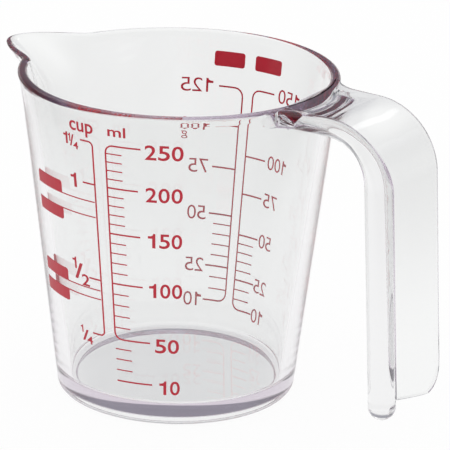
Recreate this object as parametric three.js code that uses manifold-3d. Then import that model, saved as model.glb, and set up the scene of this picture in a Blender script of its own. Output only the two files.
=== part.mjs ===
// A clear moulded measuring cup with a pouring spout, an open strap handle and red printed scales.
// Millimetres, +Z up. The cup stands on its foot ring at z = 0, the handle points to +X and the
// spout to -X. Azimuths are in degrees, counted anticlockwise from the handle seen from above.
import * as THREE from "three";
import { mergeVertices } from "three/addons/utils/BufferGeometryUtils.js";
import Module from "manifold-3d";

// Bowl
const CUP_HEIGHT = 86.8;
const RIM_RADIUS = 41.6;
const BASE_RADIUS = 31.5; // outer wall carried down to the table
const RIM_WALL = 2.6;
const BASE_WALL = 3.9; // wall carried down to the table
const RIM_ROUND = 0.6;
const FLOOR_THICKNESS = 3.9;
const FLOOR_FILLET = 1.2;
const RECESS_DEPTH = 1.8; // hollow under the floor, inside the foot ring
const RECESS_DRAFT = 0.4;
const FOOT_WIDTH = 2; // flat part of the foot ring
const FOOT_ROUND = 2.4;

// Spout
const SPOUT_AZIMUTH = 180;
const SPOUT_REACH = 13.7; // how far the lip is drawn out past the rim
const SPOUT_DEPTH = 22.3;
const SPOUT_HALF_ANGLE = 22;
const SPOUT_SWELL = 1.7; // part of the reach that a broad swell of the wall carries
const SWELL_HALF_ANGLE = 60;

// Handle
const HANDLE_REACH = 70.3; // cup axis to the outside of the strap, just below the bend
const HANDLE_WIDTH = 28;
const HANDLE_BOTTOM = 10.3;
const HANDLE_BEND = 18.5; // outside radius of the bend
const HANDLE_LEAN = 3.3; // degrees that the grip leans outwards
const ROOT_THICKNESS = 4.7; // of the rail, which grows towards the grip
const ROOT_WIDTH = 4.4;
const RAIL_WIDTH = 7; // round rail along the strap's edge at -Y
const RAIL_THICKNESS = 7.1;
const RAIL_ROUND = 3.5;
const PANEL_THICKNESS = 1.9; // flat panel between the rail and the edge at +Y
const PANEL_ROUND = 0.8;
const PANEL_INSET = 0.4; // rail's outside to the panel's
const PANEL_RISE = 2.9; // rail's lower end up to the middle of the panel's
const PANEL_SLANT = 0.23; // how far the panel's lower end drops towards +Y, per mm across
const PANEL_CORNER = 8.5;
const GUSSET_DEPTH = 6.6; // swelling under the strap where it meets the wall
const GUSSET_WIDTH = 22;
const GUSSET_LENGTH = 10;
const SHOULDER = 1; // least flat run between the gusset and the bend
const HANDLE_CLEARANCE = 0.3;

// Printed scales
const INK_GAP = 0.1;
const INK_THICKNESS = 0.15;
const LINE_WIDTH = 0.42;
const FINE_LINE_WIDTH = 0.3;
const CORNER_SHARE = 0.88; // of the smallest step of a scale
const TOP_MARK_DROP = 8.9; // rim down to the mark of the full measure
const FULL_ML = 250;
const ML_STEP = 10;
const LOW_MARK_RISE = 2.3; // lowest mark above the level that the plain cone gives it
const ML_MAJOR_STEP = 50;
const ML_AZIMUTH = -83.2;
const ML_LONG_TICK = 8.3;
const ML_END_TICK = 9.5;
const ML_SHORT_TICK = 4.4;
const CUP_AZIMUTH = -88.55;
const CUP_TICK = 3.75;
const CUP_CORNER = 1.2;
const ML_PER_CUP = 200;
const CUP_MARKS = [1.25, 1, 0.5, 0.25];
const FLOUR_AZIMUTH = 97.7;
const FLOUR_LOW_ML = 15.2; // room that the lowest and highest marks stand for
const FLOUR_HIGH_ML = 221;
const SUGAR_AZIMUTH = 93;
const SUGAR_LOW_ML = 11.7;
const SUGAR_HIGH_ML = 222;
const POWDER_MARKS = [100, 75, 50, 45, 40, 35, 30, 25, 20, 15]; // grams, between the end marks
const POWDER_LONG_STEP = 25;
const FLOUR_RANGE = [10, 125];
const SUGAR_RANGE = [10, 150];
const POWDER_LONG_TICK = 7.2;
const POWDER_SHORT_TICK = 5.7;
const UPPER_LEVEL_ML = 180; // level that a tag stands on
const LOWER_LEVEL_ML = 163.5; // level that a tag hangs from
const LEVEL_TAG_WIDTH = 11.8;
const LEVEL_TAG_HEIGHT = 3.45;
const LEVEL_TAG_LEADER = 11.8; // leader line from the cup scale to the tag
const LEADER_GAP = 0.2;
const POWDER_TAG_WIDTH = 9;
const POWDER_TAG_HEIGHT = 4.1;
const POWDER_TAG_DROP = 5.9; // rim down to the tags' upper edge
const TAG_CORNER = 0.7;

// Facets
const WALL_SEGMENTS = 96;
const SPOUT_ROWS = 7;
const ARC_STEPS = 4;
const INK_STEP = 2.2;

const TAPER = (RIM_RADIUS - BASE_RADIUS) / CUP_HEIGHT;
const FLOOR_TOP = RECESS_DEPTH + FLOOR_THICKNESS;
const outerRadius = (z) => BASE_RADIUS + TAPER * z;
const wallAt = (z) => THREE.MathUtils.lerp(BASE_WALL, RIM_WALL, z / CUP_HEIGHT);
const innerRadius = (z) => outerRadius(z) - wallAt(z);
const INNER_TAPER = (innerRadius(CUP_HEIGHT) - innerRadius(0)) / CUP_HEIGHT;
const radians = THREE.MathUtils.degToRad;

const wasm = await Module();
wasm.setup();

// Mesh helpers

function signedVolume(geometry) {
  const position = geometry.getAttribute("position");
  const index = geometry.getIndex();
  const [a, b, c] = [new THREE.Vector3(), new THREE.Vector3(), new THREE.Vector3()];
  let volume = 0;
  for (let i = 0; i < index.count; i += 3) {
    a.fromBufferAttribute(position, index.getX(i));
    b.fromBufferAttribute(position, index.getX(i + 1));
    c.fromBufferAttribute(position, index.getX(i + 2));
    volume += a.dot(b.cross(c)) / 6;
  }
  return volume;
}

// Keeps only welded positions, and turns the faces outwards.
function closedSurface(geometry) {
  geometry.deleteAttribute("normal");
  geometry.deleteAttribute("uv");
  const welded = mergeVertices(geometry, 1e-4);
  const corners = welded.getIndex().array;
  const kept = [];
  for (let i = 0; i < corners.length; i += 3) {
    const [a, b, c] = [corners[i], corners[i + 1], corners[i + 2]];
    if (a !== b && b !== c && c !== a) kept.push(a, b, c);
  }
  welded.setIndex(kept);
  if (signedVolume(welded) < 0) welded.setIndex(kept.reverse());
  return welded;
}

function surfaceFrom(points, triangles) {
  const geometry = new THREE.BufferGeometry();
  geometry.setAttribute("position", new THREE.Float32BufferAttribute(points.flat(), 3));
  geometry.setIndex(triangles);
  return closedSurface(geometry);
}

function solidFrom(geometry) {
  return new wasm.Manifold(
    new wasm.Mesh({
      numProp: 3,
      vertProperties: new Float32Array(geometry.getAttribute("position").array),
      triVerts: new Uint32Array(geometry.getIndex().array),
    })
  );
}

function surfaceOf(solid) {
  const { vertProperties, triVerts } = solid.getMesh();
  const geometry = new THREE.BufferGeometry();
  geometry.setAttribute("position", new THREE.Float32BufferAttribute(vertProperties, 3));
  geometry.setIndex(Array.from(triVerts));
  return closedSurface(geometry);
}

// Points of a circular arc in the (radius, height) plane, both ends included.
function arc(centreX, centreY, radius, from, to) {
  return Array.from({ length: ARC_STEPS + 1 }, (_, i) => {
    const angle = radians(from + ((to - from) * i) / ARC_STEPS);
    return new THREE.Vector2(centreX + radius * Math.cos(angle), centreY + radius * Math.sin(angle));
  });
}

function revolve(profile) {
  return new THREE.LatheGeometry(profile, WALL_SEGMENTS).rotateX(Math.PI / 2);
}

// Bowl: a revolved shell whose lip is drawn out into the spout

function bowlProfile() {
  const spoutHeights = Array.from(
    { length: SPOUT_ROWS + 1 },
    (_, i) => CUP_HEIGHT - RIM_ROUND - (SPOUT_DEPTH - RIM_ROUND) * (1 - i / SPOUT_ROWS)
  );
  const recessRadius = outerRadius(FOOT_ROUND) - FOOT_ROUND - FOOT_WIDTH;
  const rimOutside = RIM_RADIUS - RIM_ROUND;
  const rimInside = innerRadius(CUP_HEIGHT) + RIM_ROUND;
  const filletTop = FLOOR_TOP + FLOOR_FILLET;
  return [
    new THREE.Vector2(0, RECESS_DEPTH),
    new THREE.Vector2(recessRadius - RECESS_DRAFT, RECESS_DEPTH),
    new THREE.Vector2(recessRadius, 0),
    ...arc(outerRadius(FOOT_ROUND) - FOOT_ROUND, FOOT_ROUND, FOOT_ROUND, -90, 0),
    ...spoutHeights.slice(0, -1).map((z) => new THREE.Vector2(outerRadius(z), z)),
    ...arc(rimOutside, CUP_HEIGHT - RIM_ROUND, RIM_ROUND, 0, 90),
    ...arc(rimInside, CUP_HEIGHT - RIM_ROUND, RIM_ROUND, 90, 180),
    ...spoutHeights.slice(0, -1).reverse().map((z) => new THREE.Vector2(innerRadius(z), z)),
    ...arc(innerRadius(filletTop) - FLOOR_FILLET, filletTop, FLOOR_FILLET, 0, -90),
    new THREE.Vector2(0, FLOOR_TOP),
  ];
}

// How far the spout pulls the wall out at an azimuth (radians) and height: a narrow lip on a broad
// swell, each fading to the sides as a squared cosine, and both fading downwards as a parabola.
function spoutPull(azimuth, z) {
  const fromMiddle = Math.abs(Math.atan2(Math.sin(azimuth), Math.cos(azimuth)));
  const fade = (halfAngle) =>
    Math.cos(Math.min(1, fromMiddle / radians(halfAngle)) * (Math.PI / 2)) ** 2;
  const below = Math.min(1, (CUP_HEIGHT - z) / SPOUT_DEPTH);
  const lip = (SPOUT_REACH - SPOUT_SWELL) * fade(SPOUT_HALF_ANGLE);
  return (lip + SPOUT_SWELL * fade(SWELL_HALF_ANGLE)) * (1 - below) ** 2;
}

function bowl() {
  const geometry = revolve(bowlProfile());
  const position = geometry.getAttribute("position");
  const point = new THREE.Vector3();
  for (let i = 0; i < position.count; i++) {
    point.fromBufferAttribute(position, i);
    const radius = Math.hypot(point.x, point.y);
    if (radius < outerRadius(0) / 2) continue;
    const azimuth = Math.atan2(point.y, point.x);
    const pulled = radius + spoutPull(azimuth - radians(SPOUT_AZIMUTH), point.z);
    position.setXYZ(i, pulled * Math.cos(azimuth), pulled * Math.sin(azimuth), point.z);
  }
  return closedSurface(geometry);
}

// Handle: a round rail and a flat panel, lofted down one outside line, joined and cut to the wall

// Outline across a part of the strap, from its edge at -Y to its edge at +Y: a rounded rectangle
// whose inner side may swell into the gusset. The second coordinate runs from the outside inwards.
function strapSection({ near, far, outside, inside, round, belly = 0 }) {
  const edge = Math.min(round, (inside - outside) * 0.48, (far - near) * 0.48);
  const [left, right] = [near + edge, far - edge];
  const innerEdge = Array.from({ length: 2 * ARC_STEPS - 1 }, (_, i) => {
    const across = left + ((right - left) * (i + 1)) / (2 * ARC_STEPS);
    return new THREE.Vector2(across, inside);
  });
  const outline = [
    ...arc(right, outside + edge, edge, 0, -90),
    ...arc(left, outside + edge, edge, -90, -180),
    ...arc(left, inside - edge, edge, 180, 90),
    ...innerEdge,
    ...arc(right, inside - edge, edge, 90, 0),
  ];
  const middle = (outside + inside) / 2;
  for (const p of outline) {
    const across = (2 * p.x) / GUSSET_WIDTH;
    if (p.y > middle) p.y += belly * Math.sqrt(Math.max(0, 1 - across ** 2));
  }
  return outline;
}

// Stations down the outside line, from inside the wall to an end at a given height. Each has a point,
// its outward normal's angle, its swell from root to grip, its share of the gusset and how far it
// lies from the end, which closes over a given length.
function strapLine(bottom, endLength) {
  const upright = Math.PI / 2;
  const lean = radians(HANDLE_LEAN);
  const bendX = HANDLE_REACH - HANDLE_BEND;
  const bendZ = CUP_HEIGHT - HANDLE_BEND;
  const rootX = RIM_RADIUS - RIM_WALL - GUSSET_DEPTH / 2;
  const gussetLength = Math.min(GUSSET_LENGTH, bendX - RIM_RADIUS - SHOULDER);
  const [rootSteps, bendSteps, endSteps] = [2 * ARC_STEPS, 3 * ARC_STEPS, 3 * ARC_STEPS];
  const line = [];
  const add = (x, z, angle, swell, gusset, fromEnd) =>
    line.push({ x, z, angle, swell, gusset, fromEnd });

  add(rootX, CUP_HEIGHT, upright, 0, 1, Infinity);
  for (let i = 0; i <= rootSteps; i++) {
    const along = i / rootSteps;
    const gusset = 1 - Math.sqrt(1 - (1 - along) ** 2);
    add(RIM_RADIUS + along * gussetLength, CUP_HEIGHT, upright, 0, gusset, Infinity);
  }
  for (let i = 0; i <= bendSteps; i++) {
    const turn = i / bendSteps;
    const angle = THREE.MathUtils.lerp(upright, lean, turn);
    const x = bendX + HANDLE_BEND * Math.cos(angle);
    const z = bendZ + HANDLE_BEND * Math.sin(angle);
    add(x, z, angle, THREE.MathUtils.smoothstep(turn, 0, 1), 0, Infinity);
  }
  const start = line.at(-1);
  const length = (start.z - bottom) / Math.cos(lean);
  for (let i = endSteps; i >= 1; i--) {
    const fromEnd = endLength * (1 - Math.cos((i / endSteps) * upright));
    const run = length - fromEnd;
    add(start.x + run * Math.sin(lean), start.z - run * Math.cos(lean), lean, 1, 0, fromEnd);
  }
  return line;
}

// How far an end rounded to a radius is drawn in, at a distance from its tip.
function drawIn(radius, fromEnd) {
  return radius - Math.sqrt(radius ** 2 - Math.max(0, radius - fromEnd) ** 2);
}

// Joins the sections at the stations. A slant shears the end's stations down towards +Y.
function alongStrap(line, sectionAt, slant = 0) {
  const rings = line.map((station) =>
    sectionAt(station).map((p) => {
      const drop = station.fromEnd < Infinity ? slant * p.x : 0;
      return [
        station.x - p.y * Math.cos(station.angle) + drop * Math.sin(station.angle),
        p.x,
        station.z - p.y * Math.sin(station.angle) - drop * Math.cos(station.angle),
      ];
    })
  );
  return solidFrom(loft(rings));
}

function railWidth(swell) {
  return THREE.MathUtils.lerp(ROOT_WIDTH, RAIL_WIDTH, swell);
}

function rail() {
  const edge = -HANDLE_WIDTH / 2;
  const nose = RAIL_THICKNESS / 2;
  return alongStrap(strapLine(HANDLE_BOTTOM, nose), ({ swell, fromEnd }) => {
    const thickness = THREE.MathUtils.lerp(ROOT_THICKNESS, RAIL_THICKNESS, swell);
    const end = drawIn(nose, fromEnd);
    return strapSection({
      near: edge + end,
      far: edge + railWidth(swell) - end,
      outside: end,
      inside: thickness - end,
      round: RAIL_ROUND,
    });
  });
}

function panel() {
  const edge = HANDLE_WIDTH / 2;
  const sectionAt = ({ swell, gusset, fromEnd }) => {
    const end = drawIn(PANEL_ROUND, fromEnd);
    return strapSection({
      near: railWidth(swell) / 2 - edge,
      far: edge - drawIn(PANEL_CORNER, fromEnd),
      outside: PANEL_INSET + end,
      inside: PANEL_INSET + PANEL_THICKNESS - end,
      round: PANEL_ROUND,
      belly: GUSSET_DEPTH * gusset,
    });
  };
  return alongStrap(strapLine(HANDLE_BOTTOM + PANEL_RISE, PANEL_CORNER), sectionAt, PANEL_SLANT);
}

function loft(rings) {
  const count = rings[0].length;
  const points = rings.flat();
  const triangles = [];
  for (let r = 0; r + 1 < rings.length; r++) {
    for (let i = 0; i < count; i++) {
      const next = (i + 1) % count;
      const [a, b] = [r * count + i, r * count + next];
      const [c, d] = [a + count, b + count];
      triangles.push(a, b, d, a, d, c);
    }
  }
  const capAt = (ring, first, flip) => {
    const middle = [0, 1, 2].map((axis) => ring.reduce((sum, p) => sum + p[axis], 0) / count);
    const hub = points.push(middle) - 1;
    for (let i = 0; i < count; i++) {
      const [a, b] = [first + i, first + ((i + 1) % count)];
      triangles.push(hub, ...(flip ? [b, a] : [a, b]));
    }
  };
  capAt(rings[0], 0, true);
  capAt(rings.at(-1), (rings.length - 1) * count, false);
  return surfaceFrom(points, triangles);
}

function handle() {
  const below = -FOOT_ROUND;
  const above = CUP_HEIGHT + ROOT_THICKNESS;
  const bowlSpace = revolve([
    new THREE.Vector2(0, below),
    new THREE.Vector2(outerRadius(below) + HANDLE_CLEARANCE, below),
    new THREE.Vector2(outerRadius(above) + HANDLE_CLEARANCE, above),
    new THREE.Vector2(0, above),
  ]);
  return surfaceOf(rail().add(panel()).subtract(solidFrom(closedSurface(bowlSpace))));
}

// Ink: films laid on the wall, drawn flat as cells of (distance along the wall, height)

// Height of the level that a volume in millilitres reaches inside the bowl, whose full measure comes
// up to the top mark.
function fillHeight(millilitres) {
  const floorRadius = innerRadius(FLOOR_TOP);
  const filletArea = (1 - Math.PI / 4) * FLOOR_FILLET ** 2;
  const filletVolume = filletArea * 2 * Math.PI * (floorRadius - 0.22 * FLOOR_FILLET);
  const topRadius = innerRadius(CUP_HEIGHT - TOP_MARK_DROP);
  const perRadiusCubed = Math.PI / (3 * INNER_TAPER);
  const fullMeasure = perRadiusCubed * (topRadius ** 3 - floorRadius ** 3) - filletVolume;
  const volume = (fullMeasure * millilitres) / FULL_ML + filletVolume;
  const radius = Math.cbrt(floorRadius ** 3 + volume / perRadiusCubed);
  return FLOOR_TOP + (radius - floorRadius) / INNER_TAPER;
}

// Turns flat cells into one closed film on the wall, at an azimuth in degrees.
function inkFilm(cells, azimuth) {
  const corners = new Map();
  const flat = [];
  const cornerAt = ([u, v]) => {
    const key = `${u.toFixed(4)},${v.toFixed(4)}`;
    if (!corners.has(key)) corners.set(key, flat.push([u, v]) - 1);
    return corners.get(key);
  };
  const area = (cell) =>
    cell.reduce((sum, [u, v], i) => {
      const [nextU, nextV] = cell[(i + 1) % cell.length];
      return sum + u * nextV - nextU * v;
    }, 0);
  const faces = cells.map((cell) => (area(cell) < 0 ? [...cell].reverse() : cell).map(cornerAt));
  const onWall = ([u, v], lift) => {
    const angle = radians(azimuth) + u / outerRadius(v);
    const radius = outerRadius(v) + lift;
    return [radius * Math.cos(angle), radius * Math.sin(angle), v];
  };
  const outside = flat.map((p) => onWall(p, INK_GAP + INK_THICKNESS));
  const inside = flat.map((p) => onWall(p, INK_GAP));
  const under = flat.length;
  const triangles = [];
  const edges = new Map();
  for (const [a, b, c, d] of faces) {
    triangles.push(a, b, c, a, c, d);
    triangles.push(under + a, under + c, under + b, under + a, under + d, under + c);
    for (const [from, to] of [[a, b], [b, c], [c, d], [d, a]]) {
      if (!edges.delete(`${to},${from}`)) edges.set(`${from},${to}`, [from, to]);
    }
  }
  for (const [from, to] of edges.values()) {
    triangles.push(from, under + from, under + to, from, under + to, to);
  }
  return surfaceFrom([...outside, ...inside], triangles);
}

// Places from one value to another, in steps short enough to follow the wall.
function stepped(from, to) {
  const count = Math.max(1, Math.ceil(Math.abs(to - from) / INK_STEP));
  return Array.from({ length: count + 1 }, (_, i) => from + ((to - from) * i) / count);
}

function tickCells(from, to, height, width) {
  const places = stepped(from, to);
  return places.slice(1).map((u, i) => [
    [places[i], height - width / 2],
    [u, height - width / 2],
    [u, height + width / 2],
    [places[i], height + width / 2],
  ]);
}

// Corner radius of a frame line: a share of the smallest step between neighbouring marks.
function cornerFor(top, bottom, ticks) {
  const heights = [top, ...ticks.map(({ height }) => height), bottom];
  const steps = heights.slice(1).map((height, i) => heights[i] - height);
  return CORNER_SHARE * Math.min(...steps);
}

// A frame line with a long tick at each end, joined by round corners, and ticks between them.
// side is +1 where the ticks run anticlockwise and -1 where they run clockwise.
function comb({ side, top, bottom, ticks, endTick, corner = cornerFor(top, bottom, ticks) }) {
  const half = LINE_WIDTH / 2;
  const line = [];
  const station = (u, v, across, up) =>
    line.push([[u - across * half, v - up * half], [u + across * half, v + up * half]]);
  const turn = (height, from, to, sign) => {
    for (let i = 0; i <= ARC_STEPS; i++) {
      const angle = radians(from + ((to - from) * i) / ARC_STEPS);
      const [across, up] = [-side * Math.cos(angle), sign * Math.sin(angle)];
      station(side * corner + across * corner, height - sign * corner + up * corner, across, up);
    }
  };
  for (const u of stepped(side * endTick, side * corner).slice(0, -1)) station(u, top, 0, 1);
  turn(top, 90, 0, 1);
  for (const { height, width } of ticks) {
    station(0, height + width / 2, -side, 0);
    station(0, height - width / 2, -side, 0);
  }
  turn(bottom, 0, 90, -1);
  for (const u of stepped(side * corner, side * endTick).slice(1)) station(u, bottom, 0, -1);
  const frame = line.slice(1).map(([near, far], i) => [...line[i], far, near]);
  const teeth = ticks.flatMap(({ height, width, length }) =>
    tickCells(side * half, side * length, height, width)
  );
  return [...frame, ...teeth];
}

// A tag with round corners, in columns. A leader line joins it at its upper or lower edge.
function tagCells({ from, to, base, height, leaderTo, leaderAtTop }) {
  const width = Math.abs(to - from);
  const low = Math.min(from, to);
  const inset = (u) => {
    const fromEnd = Math.min(u - low, low + width - u);
    const drop = Math.max(0, TAG_CORNER - fromEnd);
    return TAG_CORNER - Math.sqrt(TAG_CORNER ** 2 - drop ** 2);
  };
  const roundPlaces = Array.from(
    { length: ARC_STEPS },
    (_, i) => TAG_CORNER * (1 - Math.cos((i / ARC_STEPS) * (Math.PI / 2)))
  );
  const places = [
    ...roundPlaces.map((p) => low + p),
    ...stepped(low + TAG_CORNER, low + width - TAG_CORNER),
    ...roundPlaces.map((p) => low + width - p).reverse(),
  ];
  const hasLeader = leaderTo !== undefined;
  const line = hasLeader ? FINE_LINE_WIDTH : TAG_CORNER;
  const split = leaderAtTop ? base + height - line : base + line;
  const floorAt = (u) => base + (hasLeader && !leaderAtTop ? 0 : inset(u));
  const ceilingAt = (u) => base + height - (hasLeader && leaderAtTop ? 0 : inset(u));
  const cells = places.slice(1).flatMap((u, i) => {
    const before = places[i];
    return [
      [[before, floorAt(before)], [u, floorAt(u)], [u, split], [before, split]],
      [[before, split], [u, split], [u, ceilingAt(u)], [before, ceilingAt(before)]],
    ];
  });
  if (!hasLeader) return cells;
  const leaderHeight = leaderAtTop ? split + line / 2 : base + line / 2;
  return [...cells, ...tickCells(low + width, leaderTo, leaderHeight, line)];
}

// Ticks for a scale, given a list of [height, whether it is a long tick].
function tickRow(marks, long, short) {
  return marks.map(([height, isLong]) => ({
    height,
    width: isLong ? LINE_WIDTH : FINE_LINE_WIDTH,
    length: isLong ? long : short,
  }));
}

function countDown(from, to, step) {
  return Array.from({ length: Math.round((from - to) / step) + 1 }, (_, i) => from - i * step);
}

function millilitreScale() {
  const marks = countDown(FULL_ML - ML_STEP, ML_MAJOR_STEP + ML_STEP, ML_STEP);
  return comb({
    side: 1,
    top: fillHeight(FULL_ML),
    bottom: fillHeight(ML_MAJOR_STEP),
    ticks: tickRow(
      marks.map((ml) => [fillHeight(ml), ml % ML_MAJOR_STEP === 0]),
      ML_LONG_TICK,
      ML_SHORT_TICK
    ),
    endTick: ML_END_TICK,
  });
}

function cupScale() {
  const heights = CUP_MARKS.map((cups) => fillHeight(cups * ML_PER_CUP));
  return comb({
    side: -1,
    top: heights[0],
    bottom: heights.at(-1),
    corner: CUP_CORNER,
    ticks: tickRow(heights.slice(1, -1).map((height) => [height, true]), CUP_TICK, CUP_TICK),
    endTick: CUP_TICK,
  });
}

// A scale in grams: its first and last marks stand for known volumes, and equal weights between
// them take equal volumes.
function powderScale({ side, range: [lowest, highest], highMl, lowMl }) {
  const heightOf = (grams) =>
    fillHeight(lowMl + ((highMl - lowMl) * (grams - lowest)) / (highest - lowest));
  return comb({
    side,
    top: heightOf(highest),
    bottom: heightOf(lowest),
    ticks: tickRow(
      POWDER_MARKS.map((grams) => [heightOf(grams), grams % POWDER_LONG_STEP === 0]),
      POWDER_LONG_TICK,
      POWDER_SHORT_TICK
    ),
    endTick: POWDER_LONG_TICK,
  });
}

// A level tag stands on its leader line, or hangs below it.
function levelTag(millilitres, hangs) {
  const level = fillHeight(millilitres);
  const half = FINE_LINE_WIDTH / 2;
  return tagCells({
    from: -LEVEL_TAG_LEADER - LEVEL_TAG_WIDTH,
    to: -LEVEL_TAG_LEADER,
    base: hangs ? level + half - LEVEL_TAG_HEIGHT : level - half,
    height: LEVEL_TAG_HEIGHT,
    leaderTo: -LINE_WIDTH / 2 - LEADER_GAP,
    leaderAtTop: hangs,
  });
}

function powderTag(side) {
  return tagCells({
    from: 0,
    to: side * POWDER_TAG_WIDTH,
    base: CUP_HEIGHT - POWDER_TAG_DROP - POWDER_TAG_HEIGHT,
    height: POWDER_TAG_HEIGHT,
  });
}

// Assembly

const clearPlastic = new THREE.MeshStandardMaterial({
  color: 0xe8e9f0,
  roughness: 0.06,
  metalness: 0,
  transparent: true,
  opacity: 0.35,
});
const redInk = new THREE.MeshStandardMaterial({ color: 0xc4182c, roughness: 0.45, metalness: 0 });

function piece(name, geometry, material) {
  const mesh = new THREE.Mesh(geometry, material);
  mesh.name = name;
  return mesh;
}

const looseMarks = countDown(ML_MAJOR_STEP - ML_STEP, ML_STEP, ML_STEP).map((ml) => {
  const below = (ML_MAJOR_STEP - ml) / (ML_MAJOR_STEP - ML_STEP);
  const height = fillHeight(ml) + LOW_MARK_RISE * below;
  const lowest = ml === ML_STEP;
  const [length, width] = lowest ? [ML_END_TICK, LINE_WIDTH] : [ML_SHORT_TICK, FINE_LINE_WIDTH];
  return [`ml_mark_${ml}`, tickCells(0, length, height, width), ML_AZIMUTH];
});
const levelTags = [1, 1 / 2].flatMap((share) =>
  [[UPPER_LEVEL_ML, false], [LOWER_LEVEL_ML, true]].map(([full, hangs]) => {
    const ml = full * share;
    return [`level_tag_${Math.round(ml)}ml`, levelTag(ml, hangs), CUP_AZIMUTH];
  })
);
const flourScale = powderScale({
  side: 1,
  range: FLOUR_RANGE,
  highMl: FLOUR_HIGH_ML,
  lowMl: FLOUR_LOW_ML,
});
const sugarScale = powderScale({
  side: -1,
  range: SUGAR_RANGE,
  highMl: SUGAR_HIGH_ML,
  lowMl: SUGAR_LOW_ML,
});
const prints = [
  ["ml_scale", millilitreScale(), ML_AZIMUTH],
  ...looseMarks,
  ["cup_scale", cupScale(), CUP_AZIMUTH],
  ...levelTags,
  ["flour_scale", flourScale, FLOUR_AZIMUTH],
  ["sugar_scale", sugarScale, SUGAR_AZIMUTH],
  ["flour_tag", powderTag(1), FLOUR_AZIMUTH],
  ["sugar_tag", powderTag(-1), SUGAR_AZIMUTH],
];

const measuringCup = new THREE.Group();
measuringCup.add(piece("cup_body", bowl(), clearPlastic));
measuringCup.add(piece("handle", handle(), clearPlastic));
for (const [name, cells, azimuth] of prints) {
  measuringCup.add(piece(name, inkFilm(cells, azimuth), redInk));
}

// The origin is the middle of the whole outline on the table, so the cup's axis lies off it in X.
const outline = new THREE.Box3().setFromObject(measuringCup);
measuringCup.position.x = -(outline.min.x + outline.max.x) / 2;

export default measuringCup;
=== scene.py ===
# %% [markdown]
# # A clear measuring cup
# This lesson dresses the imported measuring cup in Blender. The cup is one clear plastic moulding with
# red ink printed on its wall, so nearly everything that the eye sees is light bent by the shape.
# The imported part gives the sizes, and every piece here is made in its frame, in metres.

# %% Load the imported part
import math
from collections import namedtuple

import bmesh
import bpy
from mathutils import Matrix, Vector


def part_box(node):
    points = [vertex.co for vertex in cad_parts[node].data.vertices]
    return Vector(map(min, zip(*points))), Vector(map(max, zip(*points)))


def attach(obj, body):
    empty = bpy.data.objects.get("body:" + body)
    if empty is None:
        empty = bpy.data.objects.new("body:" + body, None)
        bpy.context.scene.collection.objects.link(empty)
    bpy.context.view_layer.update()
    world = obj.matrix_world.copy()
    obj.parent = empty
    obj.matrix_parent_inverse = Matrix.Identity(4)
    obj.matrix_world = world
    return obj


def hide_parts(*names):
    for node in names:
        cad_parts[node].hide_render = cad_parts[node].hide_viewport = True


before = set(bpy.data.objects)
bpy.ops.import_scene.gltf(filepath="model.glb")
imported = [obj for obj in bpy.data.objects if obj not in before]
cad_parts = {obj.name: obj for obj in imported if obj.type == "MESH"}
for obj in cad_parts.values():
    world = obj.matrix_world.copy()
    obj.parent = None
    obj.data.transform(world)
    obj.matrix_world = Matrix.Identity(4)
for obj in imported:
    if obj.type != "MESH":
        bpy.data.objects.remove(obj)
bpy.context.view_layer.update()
MM = 0.001
print("packed nodes:", len(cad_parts))

# %% [markdown]
# ## Sizes read from the frame
# The bowl's box holds the rim's circle and the spout, so it gives the rim's radius, the height and
# the place of the cup's axis. What the box can't say, such as the wall's thickness, is named in
# millimetres where it is first needed.

# %% Sizes
bowl_low, bowl_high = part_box("cup_body")
CUP_HEIGHT = bowl_high.z
RIM_RADIUS = (bowl_high.y - bowl_low.y) / 2
AXIS_X = bowl_high.x - RIM_RADIUS
BASE_RADIUS = 31.5 * MM
RIM_WALL = 2.6 * MM
BASE_WALL = 3.9 * MM
TAPER = (RIM_RADIUS - BASE_RADIUS) / CUP_HEIGHT


def outer_radius(z):
    return BASE_RADIUS + TAPER * z


def inner_radius(z):
    return outer_radius(z) - (BASE_WALL + (RIM_WALL - BASE_WALL) * z / CUP_HEIGHT)


print(f"rim {2 * RIM_RADIUS / MM:.1f} mm, height {CUP_HEIGHT / MM:.1f} mm")
print(f"axis at x {AXIS_X / MM:.2f} mm")

# %% [markdown]
# ## The bowl
# The real bowl is an injection moulding: a tapered wall, a thick floor over a shallow hollow, and a
# lip drawn out into a spout. A revolved profile could be made with the Screw modifier, but the spout
# has to pull the wall out of round, so the rings of the profile are laid in bmesh and each
# point is moved outwards by a smooth spout formula. Round edges are arcs of real points, because
# clear plastic shows every facet.

# %% Profile of the bowl
RIM_ROUND = 1.05 * MM
FLOOR_TOP = 5.7 * MM
FLOOR_FILLET = 1.2 * MM
RECESS_DEPTH = 1.8 * MM
RECESS_ROUND = 0.4 * MM
RECESS_DRAFT = 0.4 * MM
DRAFT_ANGLE = 12
FOOT_WIDTH = 2 * MM
FOOT_ROUND = 2.4 * MM
SPOUT_DEPTH = 22.3 * MM
ARC_STEPS = 8
SPOUT_ROWS = 30
WALL_ROWS = 14


def arc(centre_x, centre_z, radius, start, end):
    """Points of a circular arc, with both ends, angles in degrees."""
    points = []
    for i in range(ARC_STEPS + 1):
        angle = math.radians(start + (end - start) * i / ARC_STEPS)
        points.append((centre_x + radius * math.cos(angle), centre_z + radius * math.sin(angle)))
    return points


def spaced(start, end, count):
    """Evenly spaced values from start up to, and without, end."""
    return [start + (end - start) * i / count for i in range(count)]


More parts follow.
